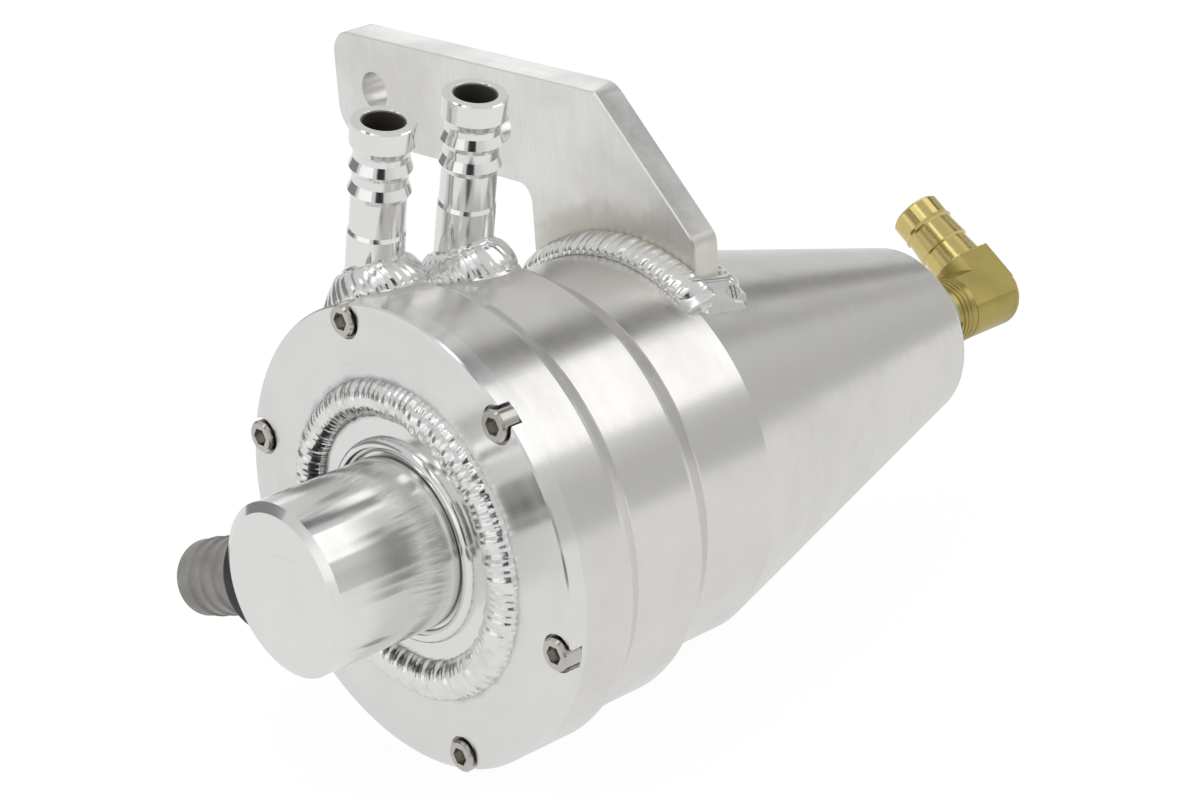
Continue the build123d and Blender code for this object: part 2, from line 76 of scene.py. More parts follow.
def startEdit(piece):
    selectOnly(piece)
    bpy.ops.object.mode_set(mode="EDIT")
    bpy.ops.mesh.select_mode(type="VERT")
    bpy.ops.mesh.select_all(action="SELECT")


def endEdit():
    bpy.ops.object.mode_set(mode="OBJECT")


def pickVertices(piece, test):
    endEdit()
    for vertex in piece.data.vertices:
        vertex.select = test(vertex.co)
    bpy.ops.object.mode_set(mode="EDIT")


def applyModifier(piece, kind, **settings):
    selectOnly(piece)
    modifier = piece.modifiers.new(kind.lower(), kind)
    for key, value in settings.items():
        setattr(modifier, key, value)
    bpy.ops.object.modifier_apply(modifier=modifier.name)


def applyPlace(*pieces):
    selectOnly(*pieces)
    bpy.context.view_layer.update()
    bpy.ops.object.transform_apply(location=True, rotation=True, scale=True)


def joinPieces(pieces):
    selectOnly(*pieces)
    bpy.ops.object.join()
    return bpy.context.object


def mergedCopy(nodeName, name):
    piece = cadNodes[nodeName].copy()
    piece.data = piece.data.copy()
    piece.name = name
    piece.parent = None
    for key in list(piece.keys()):
        del piece[key]
    bpy.context.scene.collection.objects.link(piece)
    startEdit(piece)
    bpy.ops.mesh.remove_doubles(threshold=0.002 * mm)
    endEdit()
    return piece


def ball(size, segments, rings):                 # half axes in mm
    bpy.ops.mesh.primitive_uv_sphere_add(segments=segments, ring_count=rings, radius=1 * mm)
    piece = bpy.context.object
    startEdit(piece)
    bpy.ops.transform.resize(value=size)
    endEdit()
    return piece


def polar(angle, radius, y):                     # angle counted from Z towards X, sizes in mm
    turn = math.radians(angle)
    fromAxis = Vector((math.sin(turn) * radius, 0, math.cos(turn) * radius)) * mm
    return canCentre + fromAxis + Vector((0, lidFace + y * mm, 0))


# weld beads are rows of overlapping drops that are melted into one

liftFrom = (-0.5, 0.0, 0.5)                      # a drop's front lifts from these shares of its half length
sweepFrom = (0.35, 0.6, 0.85)                    # its sides trail from these shares of its half width


# one drop of weld metal: x along the bead, y across it, z outwards
def weldDrop(name, drop):
    piece = ball((drop["halfLength"], drop["halfWidth"], drop["halfHeight"]), segments=20, rings=12)
    piece.name = name
    startEdit(piece)
    for share in liftFrom:
        pickVertices(piece, lambda place: place.x > share * drop["halfLength"] * mm)
        bpy.ops.transform.translate(value=(0, 0, drop["frontLift"] / len(liftFrom) * mm))
    for share in sweepFrom:
        pickVertices(piece, lambda place: abs(place.y) > share * drop["halfWidth"] * mm)
        bpy.ops.transform.translate(value=(-drop["sweep"] / len(sweepFrom) * mm, 0, 0))
    endEdit()
    return piece


# lays copies of the drop along the bead; every station gives its centre, its directions and its size
def layDrops(name, drop, stations, bodies):
    first = weldDrop(name + "Drop", drop)
    copies = []
    for centre, along, across, size in stations:
        outwards = along.cross(across).normalized()
        turn = Matrix((along.normalized(), outwards.cross(along).normalized(), outwards)).transposed()
        piece = first.copy()
        piece.data = first.data.copy()
        bpy.context.scene.collection.objects.link(piece)
        piece.matrix_world = Matrix.Translation(centre) @ turn.to_4x4() @ Matrix.Diagonal((*size, 1))
        copies.append(piece)
    bpy.data.objects.remove(first)
    applyPlace(*copies)
    bead = joinPieces(copies + bodies)
    bead.name = name
    startEdit(bead)
    bpy.ops.mesh.normals_make_consistent(inside=False)
    endEdit()
    return bead


def meltTogether(bead, melt):
    applyModifier(bead, "REMESH", mode="VOXEL", voxel_size=melt["voxel"] * mm)
    applyModifier(bead, "SMOOTH", factor=0.5, iterations=melt["smoothing"])
    selectOnly(bead)
    bpy.ops.object.shade_smooth()
    return bead


def facingOut(along, across, outwards):          # turns across round where the drops would face inwards
    return -across if along.cross(across).dot(outwards) < 0 else across


# round weld on the lid

lidBead = {
    "count": 122, "middleRadius": 34.0, "height": -2.9,
    "drop": {"halfLength": 3.0, "halfWidth": 5.25, "halfHeight": 4.9, "frontLift": 1.7, "sweep": 1.5},
    "narrowing": 0.14, "narrowestAngle": -60,    # the bead is slimmer on this side
    "angleJitter": 0.35, "radiusJitter": 0.18, "swell": (0.94, 1.05), "widths": (0.96, 1.03),
    "melt": {"voxel": 0.27, "smoothing": 2}, "keptDepth": 0.6,
}


def makeLidBead(settings):
    stations = []
    for number in range(settings["count"]):
        angle = number * 360 / settings["count"]
        angle += random.uniform(-settings["angleJitter"], settings["angleJitter"])
        narrow = math.cos(math.radians(angle - settings["narrowestAngle"]))
        narrow = 1 - settings["narrowing"] * max(0, narrow)
        radius = settings["middleRadius"]
        radius += random.uniform(-settings["radiusJitter"], settings["radiusJitter"])
        turn = math.radians(angle)
        along = Vector((-math.cos(turn), 0, math.sin(turn)))
        across = facingOut(along, Vector((-math.sin(turn), 0, -math.cos(turn))), Vector((0, -1, 0)))
        swell = random.uniform(*settings["swell"])
        size = (swell, narrow * random.uniform(*settings["widths"]), swell)
        stations.append((polar(angle, radius, -settings["height"]), along, across, size))
    bead = meltTogether(layDrops("lidBead", settings["drop"], stations, []), settings["melt"])
    startEdit(bead)                              # only the part above the lid is kept
    cutPlace = (0, lidFace + settings["keptDepth"] * mm, 0)
    bpy.ops.mesh.bisect(plane_co=cutPlace, plane_no=(0, 1, 0), use_fill=True, clear_outer=True)
    endEdit()
    return bead


print("round weld on the lid")
lidBeadPiece = makeLidBead(lidBead)
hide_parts("spigot_weld")


# welds round the two hose barbs

barbBead = {
    "count": 26,
    "footLevel": -2.2, "footHalfLength": 15.3, "footHalfWidth": 12.6,
    "topLevel": 6.6, "topHalfLength": 7.6, "topHalfWidth": 7.2, "topShift": 3.8,
    "rings": 7, "hollow": 1.5, "buried": 2.6, "boreRadius": 6.5, "boreLength": 60,
    "drop": {"halfLength": 2.3, "halfWidth": 1.0, "halfHeight": 1.3, "frontLift": 1.0, "sweep": 0.5},
    "dropHeight": 0.52, "dropInwards": 1.35, "dropReach": 0.42, "slant": (0.94, 0.34),
    "turnJitter": 0.03, "swell": (0.93, 1.07), "heights": (0.96, 1.04),
    "melt": {"voxel": 0.25, "smoothing": 2},
}


# the hollow flare between the can and the tube, ring by ring from its foot
def makeFlare(settings, name, place):
    bpy.ops.mesh.primitive_circle_add(vertices=64, radius=1 * mm, fill_type="NGON")
    piece = bpy.context.object
    piece.name = name
    startEdit(piece)
    footSize = (settings["footHalfLength"], settings["footHalfWidth"])
    topSize = (settings["topHalfLength"], settings["topHalfWidth"])
    rise = settings["topLevel"] - settings["footLevel"]
    size = footSize
    centre = Vector((0, 0, settings["footLevel"])) * mm
    bpy.ops.transform.resize(value=(*size, 1))
    bpy.ops.transform.translate(value=(0, 0, (settings["footLevel"] - settings["buried"]) * mm))
    bpy.ops.mesh.extrude_region_move(TRANSFORM_OT_translate={"value": (0, 0, settings["buried"] * mm)})
    for number in range(settings["rings"]):
        share = (number + 1) / settings["rings"]
        wide = (1 - share) ** settings["hollow"]
        target = Vector((settings["topShift"] * (1 - wide), 0, settings["footLevel"] + share * rise)) * mm
        newSize = [top + wide * (foot - top) for foot, top in zip(footSize, topSize)]
        growth = (newSize[0] / size[0], newSize[1] / size[1], 1)
        bpy.ops.mesh.extrude_region_move(TRANSFORM_OT_translate={"value": target - centre})
        bpy.ops.transform.resize(value=growth, center_override=target)
        centre, size = target, newSize
    bpy.ops.mesh.select_all(action="SELECT")
    bpy.ops.mesh.normals_make_consistent(inside=False)
    endEdit()
    piece.matrix_world = place
    applyPlace(piece)
    return piece


# the manifold solver keeps every overlapping drop and gives the same result each run
def boreThrough(piece, place, radius, length):
    bpy.ops.mesh.primitive_cylinder_add(vertices=48, radius=radius * mm, depth=length * mm)
    cutter = bpy.context.object
    cutter.matrix_world = place
    bpy.context.view_layer.update()
    applyModifier(piece, "BOOLEAN", operation="DIFFERENCE", object=cutter, solver="MANIFOLD")
    bpy.data.objects.remove(cutter)


# drops lie slanted on the flare's hollow side; place stands on the can's surface, in mm
def barbStations(settings, place):
    spin = place.to_3x3()
    stations = []
    for number in range(settings["count"]):
        turn = math.radians(number * 360 / settings["count"])
        turn += random.uniform(-settings["turnJitter"], settings["turnJitter"])
        foot = Vector((settings["footHalfLength"] * math.cos(turn),
                       settings["footHalfWidth"] * math.sin(turn), settings["footLevel"]))
        top = Vector((settings["topShift"] + settings["topHalfLength"] * math.cos(turn),
                      settings["topHalfWidth"] * math.sin(turn), settings["topLevel"]))
        along = Vector((-settings["footHalfLength"] * math.sin(turn),
                        settings["footHalfWidth"] * math.cos(turn), 0))
        outwards = Vector((math.cos(turn), math.sin(turn), 0.5))
        across = facingOut(along, top - foot, outwards)
        inwards = -along.cross(across).normalized() * settings["dropInwards"]
        centre = (foot.lerp(top, settings["dropHeight"]) + inwards) * mm
        forwards, sideways = settings["slant"]
        slanted = along.normalized() * forwards + across.normalized() * sideways
        size = (random.uniform(*settings["swell"]), across.length * settings["dropReach"],
                random.uniform(*settings["heights"]))
        stations.append((place @ centre, spin @ slanted, spin @ across, size))
    return stations


def makeBarbBead(settings, name, hoseBarb):
    offset, surfaceRadius = hoseBarb["offset"], hoseBarb["surfaceRadius"]
    surfaceZ = math.sqrt(surfaceRadius ** 2 - offset ** 2)
    middle = Matrix.Translation(canCentre + Vector((0, lidFace, 0)))
    upright = Matrix.Translation(Vector((offset, hoseBarb["y"], surfaceZ)) * mm)
    stem = middle @ Matrix.Rotation(barbLean, 4, "Y") @ upright
    place = stem @ Matrix.Rotation(math.atan(offset / surfaceZ), 4, "Y")
    stations = barbStations(settings, place)
    bead = layDrops(name, settings["drop"], stations, [makeFlare(settings, name + "Flare", place)])
    boreThrough(bead, stem, settings["boreRadius"], settings["boreLength"])
    return meltTogether(bead, settings["melt"])


print("welds round the hose barbs")
frontBarbBeadPiece = makeBarbBead(barbBead, "frontBarbBead", hoseBarbs["front"])
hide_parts("front_barb_weld")
rearBarbBeadPiece = makeBarbBead(barbBead, "rearBarbBead", hoseBarbs["rear"])
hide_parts("rear_barb_weld")


# welds under the bracket: one bead of its front and back weld and of a mound at the plate's end

bracketBead = {
    "startAngle": -39, "endAngle": 29.5,
    "front": {"count": 23, "plateY": 75.0, "plateReach": 52.0, "footY": 67.9, "footRadius": 48.7},
    "back": {"count": 24, "plateY": 84.5, "plateReach": 48.6, "footY": 88.7, "footRadius": 43.9},
    "drop": {"halfLength": 2.9, "halfWidth": 1.0, "halfHeight": 1.75, "frontLift": 0.8, "sweep": 0.9},
    "dropHeight": 0.47, "dropInwards": 0.5, "dropReach": 0.53, "slant": 0.22,
    "angleJitter": 0.4, "swell": (0.93, 1.08), "heights": (0.95, 1.05),
    "melt": {"voxel": 0.25, "smoothing": 2},
    "mound": {"rows": 7, "columns": 12, "angles": (27.0, 34.0), "startY": (75.0, 73.0), "endY": (84.0, 86.5),
              "height": 4.3, "proud": 0.3, "hollow": 1.3, "radii": (3.3, 1.8),
              "melt": {"voxel": 0.35, "smoothing": 24}},
    "coneStartY": 70.3, "coneStartRadius": 48.5, "coneSlope": 0.268,
}


# stations of one row of drops; side is -1 in front of the plate and 1 behind it
def slopeStations(settings, row, side):
    stations = []
    for number in range(row["count"]):
        share = (number + 0.5) / row["count"]
        angle = settings["startAngle"] + share * (settings["endAngle"] - settings["startAngle"])
        angle += random.uniform(-settings["angleJitter"], settings["angleJitter"])
        top = polar(angle, row["plateReach"], row["plateY"])
        foot = polar(angle, row["footRadius"], row["footY"])
        turn = math.radians(angle)
        along = Vector((math.cos(turn), 0, -math.sin(turn)))
        across = facingOut(along, top - foot, Vector((math.sin(turn), side, math.cos(turn))))
        inwards = -along.cross(across).normalized() * settings["dropInwards"] * mm
        centre = foot.lerp(top, settings["dropHeight"]) + inwards
        slanted = along + settings["slant"] * across.normalized() * side
        size = (random.uniform(*settings["swell"]), across.length / mm * settings["dropReach"],
                random.uniform(*settings["heights"]))
        stations.append((centre, slanted, across, size))
    return stations


# a smooth hollow mound that runs down from the plate's end to the cone
def makeMound(settings):
    mound = settings["mound"]
    balls = []
    for row in range(mound["rows"]):
        down = row / (mound["rows"] - 1)
        angle, startY, endY, radius = (low + down * (high - low) for low, high in
                                       (mound["angles"], mound["startY"], mound["endY"], mound["radii"]))
        for column in range(mound["columns"]):
            y = startY + column / (mound["columns"] - 1) * (endY - startY)
            pastStart = max(0, y - settings["coneStartY"])
            surface = settings["coneStartRadius"] - settings["coneSlope"] * pastStart
            level = surface + mound["height"] * (1 - down) ** mound["hollow"] + mound["proud"] - radius
            piece = ball((radius, radius, radius), segments=24, rings=14)
            piece.matrix_world = Matrix.Translation(polar(angle, level, y))
            applyPlace(piece)
            balls.append(piece)
    return meltTogether(joinPieces(balls), mound["melt"])


def makeBracketBead(settings):
    stations = slopeStations(settings, settings["front"], -1) + slopeStations(settings, settings["back"], 1)
    bodies = [mergedCopy("bracket_weld_front", "bracketBeadCore"),
              mergedCopy("bracket_weld_back", "bracketBackCore"), makeMound(settings)]
    return meltTogether(layDrops("bracketBead", settings["drop"], stations, bodies), settings["melt"])


print("weld under the bracket")
bracketBeadPiece = makeBracketBead(bracketBead)
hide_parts("bracket_weld_front", "bracket_weld_back")


# visible turns of the elbow's pipe thread

pipeThread = {
    "radius": 8.5, "depth": 0.45, "pitch": 1.41, "startY": 182.2, "turns": 3.6, "steps": 48, "corners": 6,
}


def makePipeThread(settings):
    bpy.ops.mesh.primitive_circle_add(vertices=settings["corners"], radius=settings["depth"] * mm,
                                      fill_type="NOTHING")
    thread = bpy.context.object
    thread.name = "pipeThread"
    startEdit(thread)
    bpy.ops.transform.translate(value=(settings["radius"] * mm, 0, 0))
    endEdit()
    steps = int(settings["steps"] * settings["turns"])
    applyModifier(thread, "SCREW", axis="Y", angle=2 * math.pi * settings["turns"],
                  screw_offset=settings["pitch"] * settings["turns"] * mm, steps=steps, render_steps=steps)
    startEdit(thread)
    bpy.ops.mesh.fill_holes(sides=settings["corners"])
    bpy.ops.mesh.select_all(action="SELECT")
    bpy.ops.mesh.normals_make_consistent(inside=False)
    bpy.ops.transform.translate(value=canCentre + Vector((0, lidFace + settings["startY"] * mm, 0)))
    endEdit()
    bpy.ops.object.shade_smooth()
    return thread


print("pipe thread")
pipeThreadPiece = makePipeThread(pipeThread)


# node groups that several finishes share

def newGroup(name, inputs, outputs):
    group = bpy.data.node_groups.new(name, "ShaderNodeTree")
    for socketName, kind, value in inputs:
        socket = group.interface.new_socket(name=socketName, in_out="INPUT", socket_type=kind)
        if value is not None:
            socket.default_value = value
    for socketName in outputs:
        group.interface.new_socket(name=socketName, in_out="OUTPUT", socket_type="NodeSocketFloat")
    return group, group.nodes.new("NodeGroupInput"), group.nodes.new("NodeGroupOutput")


def feed(tree, socket, value):
    if isinstance(value, bpy.types.NodeSocket):
        tree.links.new(value, socket)
    else:
        socket.default_value = value


def addMath(tree, operation, first, second=0.0, clamp=False):
    node = tree.nodes.new("ShaderNodeMath")
    node.operation = operation
    node.use_clamp = clamp
    feed(tree, node.inputs[0], first)
    feed(tree, node.inputs[1], second)
    return node.outputs[0]


def addNoise(tree, scale, detail, roughness, vector=None, w=None):
    node = tree.nodes.new("ShaderNodeTexNoise")
    node.noise_dimensions = "1D" if vector is None else "3D"
    node.inputs["Scale"].default_value = scale
    node.inputs["Detail"].default_value = detail
    node.inputs["Roughness"].default_value = roughness
    if vector is None:
        tree.links.new(w, node.inputs["W"])
    else:
        tree.links.new(vector, node.inputs["Vector"])
    return node.outputs["Fac"]


def addRange(tree, value, low, high, toLow=0.0, toHigh=1.0):
    node = tree.nodes.new("ShaderNodeMapRange")
    node.interpolation_type = "SMOOTHSTEP"
    for socket, number in zip(list(node.inputs)[1:5], (low, high, toLow, toHigh)):
        socket.default_value = number
    tree.links.new(value, node.inputs[0])
    return node.outputs[0]


# fine lines that a cutting tool leaves round an axis along Y, given places counted from the axis
def makeTurnedLines():
    group, start, end = newGroup("turnedLines", [("Place", "NodeSocketVector", None)],
                                 ["Fine", "Wide", "Radius"])
    split = group.nodes.new("ShaderNodeSeparateXYZ")
    group.links.new(start.outputs["Place"], split.inputs[0])
    squares = addMath(group, "ADD", addMath(group, "MULTIPLY", split.outputs[0], split.outputs[0]),
                      addMath(group, "MULTIPLY", split.outputs[2], split.outputs[2]))
    radius = addMath(group, "SQRT", squares)
    travel = addMath(group, "SUBTRACT", radius, split.outputs[1])
    fine = addNoise(group, scale=3200, detail=3, roughness=0.7, w=travel)
    wide = addNoise(group, scale=260, detail=2, roughness=0.5, w=travel)
    group.links.new(fine, end.inputs["Fine"])
    group.links.new(wide, end.inputs["Wide"])
    group.links.new(radius, end.inputs["Radius"])
    return group


# finger smudges, thin scratches and small pits
def makeHandling():
    group, start, end = newGroup("handling", [("Place", "NodeSocketVector", None),
                                              ("Scale", "NodeSocketFloat", 1.0)],
                                 ["Smudge", "Scratch", "Pit"])
    scaled = group.nodes.new("ShaderNodeVectorMath")
    scaled.operation = "SCALE"
    group.links.new(start.outputs["Place"], scaled.inputs[0])
    group.links.new(start.outputs["Scale"], scaled.inputs["Scale"])
    place = scaled.outputs[0]
    smudge = addNoise(group, scale=55, detail=4, roughness=0.6, vector=place)
    group.links.new(smudge, end.inputs["Smudge"])
    streak = group.nodes.new("ShaderNodeMapping")
    streak.inputs["Rotation"].default_value = (0.5, 0.9, 0.3)
    streak.inputs["Scale"].default_value = (60, 900, 420)
    group.links.new(place, streak.inputs["Vector"])
    lines = addNoise(group, scale=1, detail=1, roughness=0.5, vector=streak.outputs[0])
    patches = addNoise(group, scale=90, detail=1, roughness=0.5, vector=place)
    scratch = addMath(group, "MULTIPLY", addRange(group, lines, low=0.73, high=0.77),
                      addRange(group, patches, low=0.56, high=0.64))
    group.links.new(scratch, end.inputs["Scratch"])
    spots = addNoise(group, scale=1100, detail=1, roughness=0.5, vector=place)
    group.links.new(addRange(group, spots, low=0.775, high=0.80), end.inputs["Pit"])
    return group


# mask of a zone that fades raggedly with the distance from a weld
def makeHeatMark():
    raggedness = 1.1
    group, start, end = newGroup("heatMark", [("Place", "NodeSocketVector", None),
                                              ("Distance", "NodeSocketFloat", 0.0),
                                              ("Reach", "NodeSocketFloat", 0.006)], ["Mask"])
    ratio = addMath(group, "DIVIDE", start.outputs["Distance"], start.outputs["Reach"])
    cloud = addNoise(group, scale=160, detail=3, roughness=0.6, vector=start.outputs["Place"])
    shift = addMath(group, "MULTIPLY", addMath(group, "SUBTRACT", cloud, 0.5), raggedness)
    ragged = addMath(group, "ADD", ratio, shift)
    mask = addRange(group, ragged, low=0.25, high=1.0, toLow=1.0, toHigh=0.0)
    group.links.new(mask, end.inputs["Mask"])
    return group


print("finishes")
turnedLines = makeTurnedLines()
handling = makeHandling()
heatMark = makeHeatMark()


# material helpers

def newMaterial(name, color, metallic, roughness):
    material = bpy.data.materials.new(name)
    material.use_nodes = True
    shader = material.node_tree.nodes["Principled BSDF"]
    shader.inputs["Base Color"].default_value = (*color, 1)
    shader.inputs["Metallic"].default_value = metallic
    shader.inputs["Roughness"].default_value = roughness
    material.diffuse_color = (*color, 1)
    return material, material.node_tree, shader


def useGroup(tree, group, **values):
    node = tree.nodes.new("ShaderNodeGroup")
    node.node_tree = group
    for name, value in values.items():
        feed(tree, node.inputs[name], value)
    return node


def placeFrom(tree, origin=(0, 0, 0), turn=(0, 0, 0)):
    coordinates = tree.nodes.new("ShaderNodeTexCoord")
    shift = tree.nodes.new("ShaderNodeMapping")
    shift.vector_type = "TEXTURE"
    shift.inputs["Location"].default_value = origin
    shift.inputs["Rotation"].default_value = turn
    tree.links.new(coordinates.outputs["Object"], shift.inputs["Vector"])
    return shift.outputs[0]


def mixColor(tree, mask, first, second):
    node = tree.nodes.new("ShaderNodeMix")
    node.data_type = "RGBA"
    for socket, value in ((node.inputs[6], first), (node.inputs[7], second)):
        feed(tree, socket, (*value, 1) if isinstance(value, tuple) else value)
    tree.links.new(mask, node.inputs[0])
    return node.outputs[2]


def darker(color, share):
    return tuple(channel * share for channel in color)


def smudgeFrom(tree, marks):
    return addRange(tree, marks.outputs["Smudge"], low=0.35, high=0.7)


def addBump(tree, shader, height, depth):        # depth in mm
    bump = tree.nodes.new("ShaderNodeBump")
    bump.inputs["Strength"].default_value = 1.0
    bump.inputs["Distance"].default_value = depth * mm
    tree.links.new(height, bump.inputs["Height"])
    tree.links.new(bump.outputs[0], shader.inputs["Normal"])


# highlights of a turned surface stretch along the direction across its lines
def stretchHighlights(tree, shader, place, amount):
    ring = tree.nodes.new("ShaderNodeVectorMath")
    ring.operation = "CROSS_PRODUCT"
    tree.links.new(place, ring.inputs[0])
    ring.inputs[1].default_value = (0, 1, 0)
    surface = tree.nodes.new("ShaderNodeNewGeometry")
    across = tree.nodes.new("ShaderNodeVectorMath")
    across.operation = "CROSS_PRODUCT"
    tree.links.new(ring.outputs[0], across.inputs[0])
    tree.links.new(surface.outputs["Normal"], across.inputs[1])
    tree.links.new(across.outputs[0], shader.inputs["Tangent"])
    shader.inputs["Anisotropic"].default_value = amount


# a drilled bore is rougher than the turned outside; its dark colour is painted shade inside the recess
def addBore(tree, lines, finish, color, roughness):
    fade, boreRoughness = 0.1, 0.5
    bore = addRange(tree, lines.outputs["Radius"], low=(finish["boreRadius"] - fade) * mm,
                    high=(finish["boreRadius"] + fade) * mm, toLow=boreRoughness, toHigh=0.0)
    # the mask paints the bore's inside dark: painted shade, not the metal's own colour
    mask = addMath(tree, "MULTIPLY", bore, 1 / boreRoughness)
    return mixColor(tree, mask, color, finish["borePaintedShade"]), addMath(tree, "ADD", roughness, bore)


def turnedMetal(name, finish):
    material, tree, shader = newMaterial(name, finish["color"], metallic=1.0, roughness=finish["roughness"])
    place = placeFrom(tree, finish["origin"], finish.get("turn", (0, 0, 0)))
    lines = useGroup(tree, turnedLines, Place=place)
    marks = useGroup(tree, handling, Place=place, Scale=1.0)
    smudge = smudgeFrom(tree, marks)
    dull = darker(finish["color"], finish["dullness"])
    color = mixColor(tree, addMath(tree, "MULTIPLY", smudge, finish["smudges"]), finish["color"], dull)
    lineShade = addRange(tree, lines.outputs["Fine"], low=0.3, high=0.7, toLow=0.0,
                         toHigh=finish["lineShade"])
    color = mixColor(tree, lineShade, color, dull)
    roughness = addMath(tree, "MULTIPLY", smudge, finish["smudgeRoughness"])
    roughness = addMath(tree, "ADD", roughness, finish["roughness"])
    bands = addMath(tree, "SUBTRACT", lines.outputs["Wide"], 0.5)
    roughness = addMath(tree, "ADD", roughness, addMath(tree, "MULTIPLY", bands, finish["bandRoughness"]))
    for zone in finish.get("heat", []):
        mask = zone(tree, place, lines)
        color = mixColor(tree, mask, color, finish["heatColor"])
        roughness = addMath(tree, "ADD", roughness, addMath(tree, "MULTIPLY", mask, finish["heatRoughness"]))
    marksMask = addMath(tree, "MAXIMUM", marks.outputs["Scratch"], marks.outputs["Pit"])
    color = mixColor(tree, addMath(tree, "MULTIPLY", marksMask, finish["marks"]), color, finish["markColor"])
    if "boreRadius" in finish:
        color, roughness = addBore(tree, lines, finish, color, roughness)
    tree.links.new(color, shader.inputs["Base Color"])
    tree.links.new(addMath(tree, "ADD", roughness, 0.0, clamp=True), shader.inputs["Roughness"])
    wave = addMath(tree, "MULTIPLY", lines.outputs["Wide"], finish["wave"])
    addBump(tree, shader, addMath(tree, "ADD", lines.outputs["Fine"], wave), finish["lineDepth"])
    stretchHighlights(tree, shader, place, finish["stretch"])
    return material


axisOrigin = (canCentre.x, lidFace, canCentre.z)


def radiusZone(radius, reach):                   # a heated ring on the lid, both sides of its weld
    def zone(tree, place, lines):
        distance = addMath(tree, "ABSOLUTE", addMath(tree, "SUBTRACT", lines.outputs["Radius"], radius * mm))
        return useGroup(tree, heatMark, Place=place, Distance=distance, Reach=reach * mm).outputs[0]
    return zone


# heated metal round a hose barb's weld, on the can's upper side
def barbZone(hoseBarb, reach):
    shiftX, squeeze, weldRadius = 1.5, 0.8, 10.5

    def zone(tree, place, lines):
        foot = canCentre + Vector((0, lidFace + hoseBarb["y"] * mm, 0))
        split = tree.nodes.new("ShaderNodeSeparateXYZ")
        tree.links.new(placeFrom(tree, tuple(foot), (0, barbLean, 0)), split.inputs[0])
        sideways = addMath(tree, "SUBTRACT", split.outputs[0], (hoseBarb["offset"] + shiftX) * mm)
        sideways = addMath(tree, "MULTIPLY", sideways, squeeze)
        flat = addMath(tree, "ADD", addMath(tree, "MULTIPLY", sideways, sideways),
                       addMath(tree, "MULTIPLY", split.outputs[1], split.outputs[1]))
        above = addRange(tree, split.outputs[2], low=0.0, high=10 * mm)
        distance = addMath(tree, "SUBTRACT", addMath(tree, "SQRT", flat), weldRadius * mm)
        mask = useGroup(tree, heatMark, Place=place, Distance=distance, Reach=reach * mm).outputs[0]
        return addMath(tree, "MULTIPLY", mask, above)
    return zone


canFinish = {
    "color": (0.78, 0.77, 0.745), "dullness": 0.9, "roughness": 0.22, "smudges": 0.4, "smudgeRoughness": 0.05,
    "bandRoughness": 0.08, "lineShade": 0.25, "lineDepth": 0.006, "wave": 1.2, "stretch": 0.6, "marks": 0.12,
    "markColor": (0.45, 0.44, 0.41), "origin": axisOrigin, "heatColor": (0.70, 0.69, 0.65),
    "heatRoughness": 0.22, "heat": [barbZone(hoseBarbs["front"], 5.0), barbZone(hoseBarbs["rear"], 5.0)],
}
lidFinish = {
    "color": (0.82, 0.82, 0.81), "dullness": 0.92, "roughness": 0.20, "smudges": 0.3, "smudgeRoughness": 0.04,
    "bandRoughness": 0.06, "lineShade": 0.2, "lineDepth": 0.003, "wave": 0.6, "stretch": 0.9, "marks": 0.15,
    "markColor": (0.5, 0.5, 0.48), "origin": axisOrigin, "heatColor": (0.66, 0.66, 0.66),
    "heatRoughness": 0.22, "heat": [radiusZone(37.6, 2.4), radiusZone(30.2, 1.6)],
}
spigotFinish = {
    "color": (0.84, 0.84, 0.83), "dullness": 0.92, "roughness": 0.13, "smudges": 0.3, "smudgeRoughness": 0.03,
    "bandRoughness": 0.04, "lineShade": 0.3, "lineDepth": 0.002, "wave": 0.4, "stretch": 0.92, "marks": 0.1,
    "markColor": (0.55, 0.55, 0.53), "origin": axisOrigin, "heatColor": (0.66, 0.66, 0.66),
    "heatRoughness": 0.22, "heat": [radiusZone(30.2, 1.6)],
}


def barbFinish(hoseBarb):
    sideways = Matrix.Rotation(barbLean, 3, "Y") @ Vector((hoseBarb["offset"] * mm, 0, 0))
    origin = canCentre + Vector((0, lidFace + hoseBarb["y"] * mm, 0)) + sideways
    return {
        "color": (0.86, 0.86, 0.85), "dullness": 0.9, "roughness": 0.09, "smudges": 0.3,
        "smudgeRoughness": 0.06, "bandRoughness": 0.05, "lineShade": 0.2, "lineDepth": 0.003, "wave": 1.0,
        "stretch": 0.4, "marks": 0.15, "markColor": (0.5, 0.5, 0.48),
        "origin": tuple(origin), "turn": (-math.pi / 2, barbLean, 0),
        # the bore's dark colour is painted shade inside the tube
        "boreRadius": 5.2, "borePaintedShade": (0.22, 0.21, 0.18),
    }


def plainMetal(name, color, roughness):
    smudges, smudgeShade, smudgeRoughness = 0.5, 0.82, 0.1
    pits, pitShade, grainDepth = 0.8, 0.5, 0.006
    material, tree, shader = newMaterial(name, color, metallic=1.0, roughness=roughness)
    place = placeFrom(tree)
    marks = useGroup(tree, handling, Place=place, Scale=1.6)
    smudge = smudgeFrom(tree, marks)
    mixed = mixColor(tree, addMath(tree, "MULTIPLY", smudge, smudges), color, darker(color, smudgeShade))
    pitMask = addMath(tree, "MULTIPLY", marks.outputs["Pit"], pits)
    mixed = mixColor(tree, pitMask, mixed, darker(color, pitShade))
    tree.links.new(mixed, shader.inputs["Base Color"])
    rough = addMath(tree, "ADD", addMath(tree, "MULTIPLY", smudge, smudgeRoughness), roughness)
    tree.links.new(rough, shader.inputs["Roughness"])
    grain = addNoise(tree, scale=2600, detail=2, roughness=0.6, vector=place)
    addBump(tree, shader, grain, grainDepth)
    return material


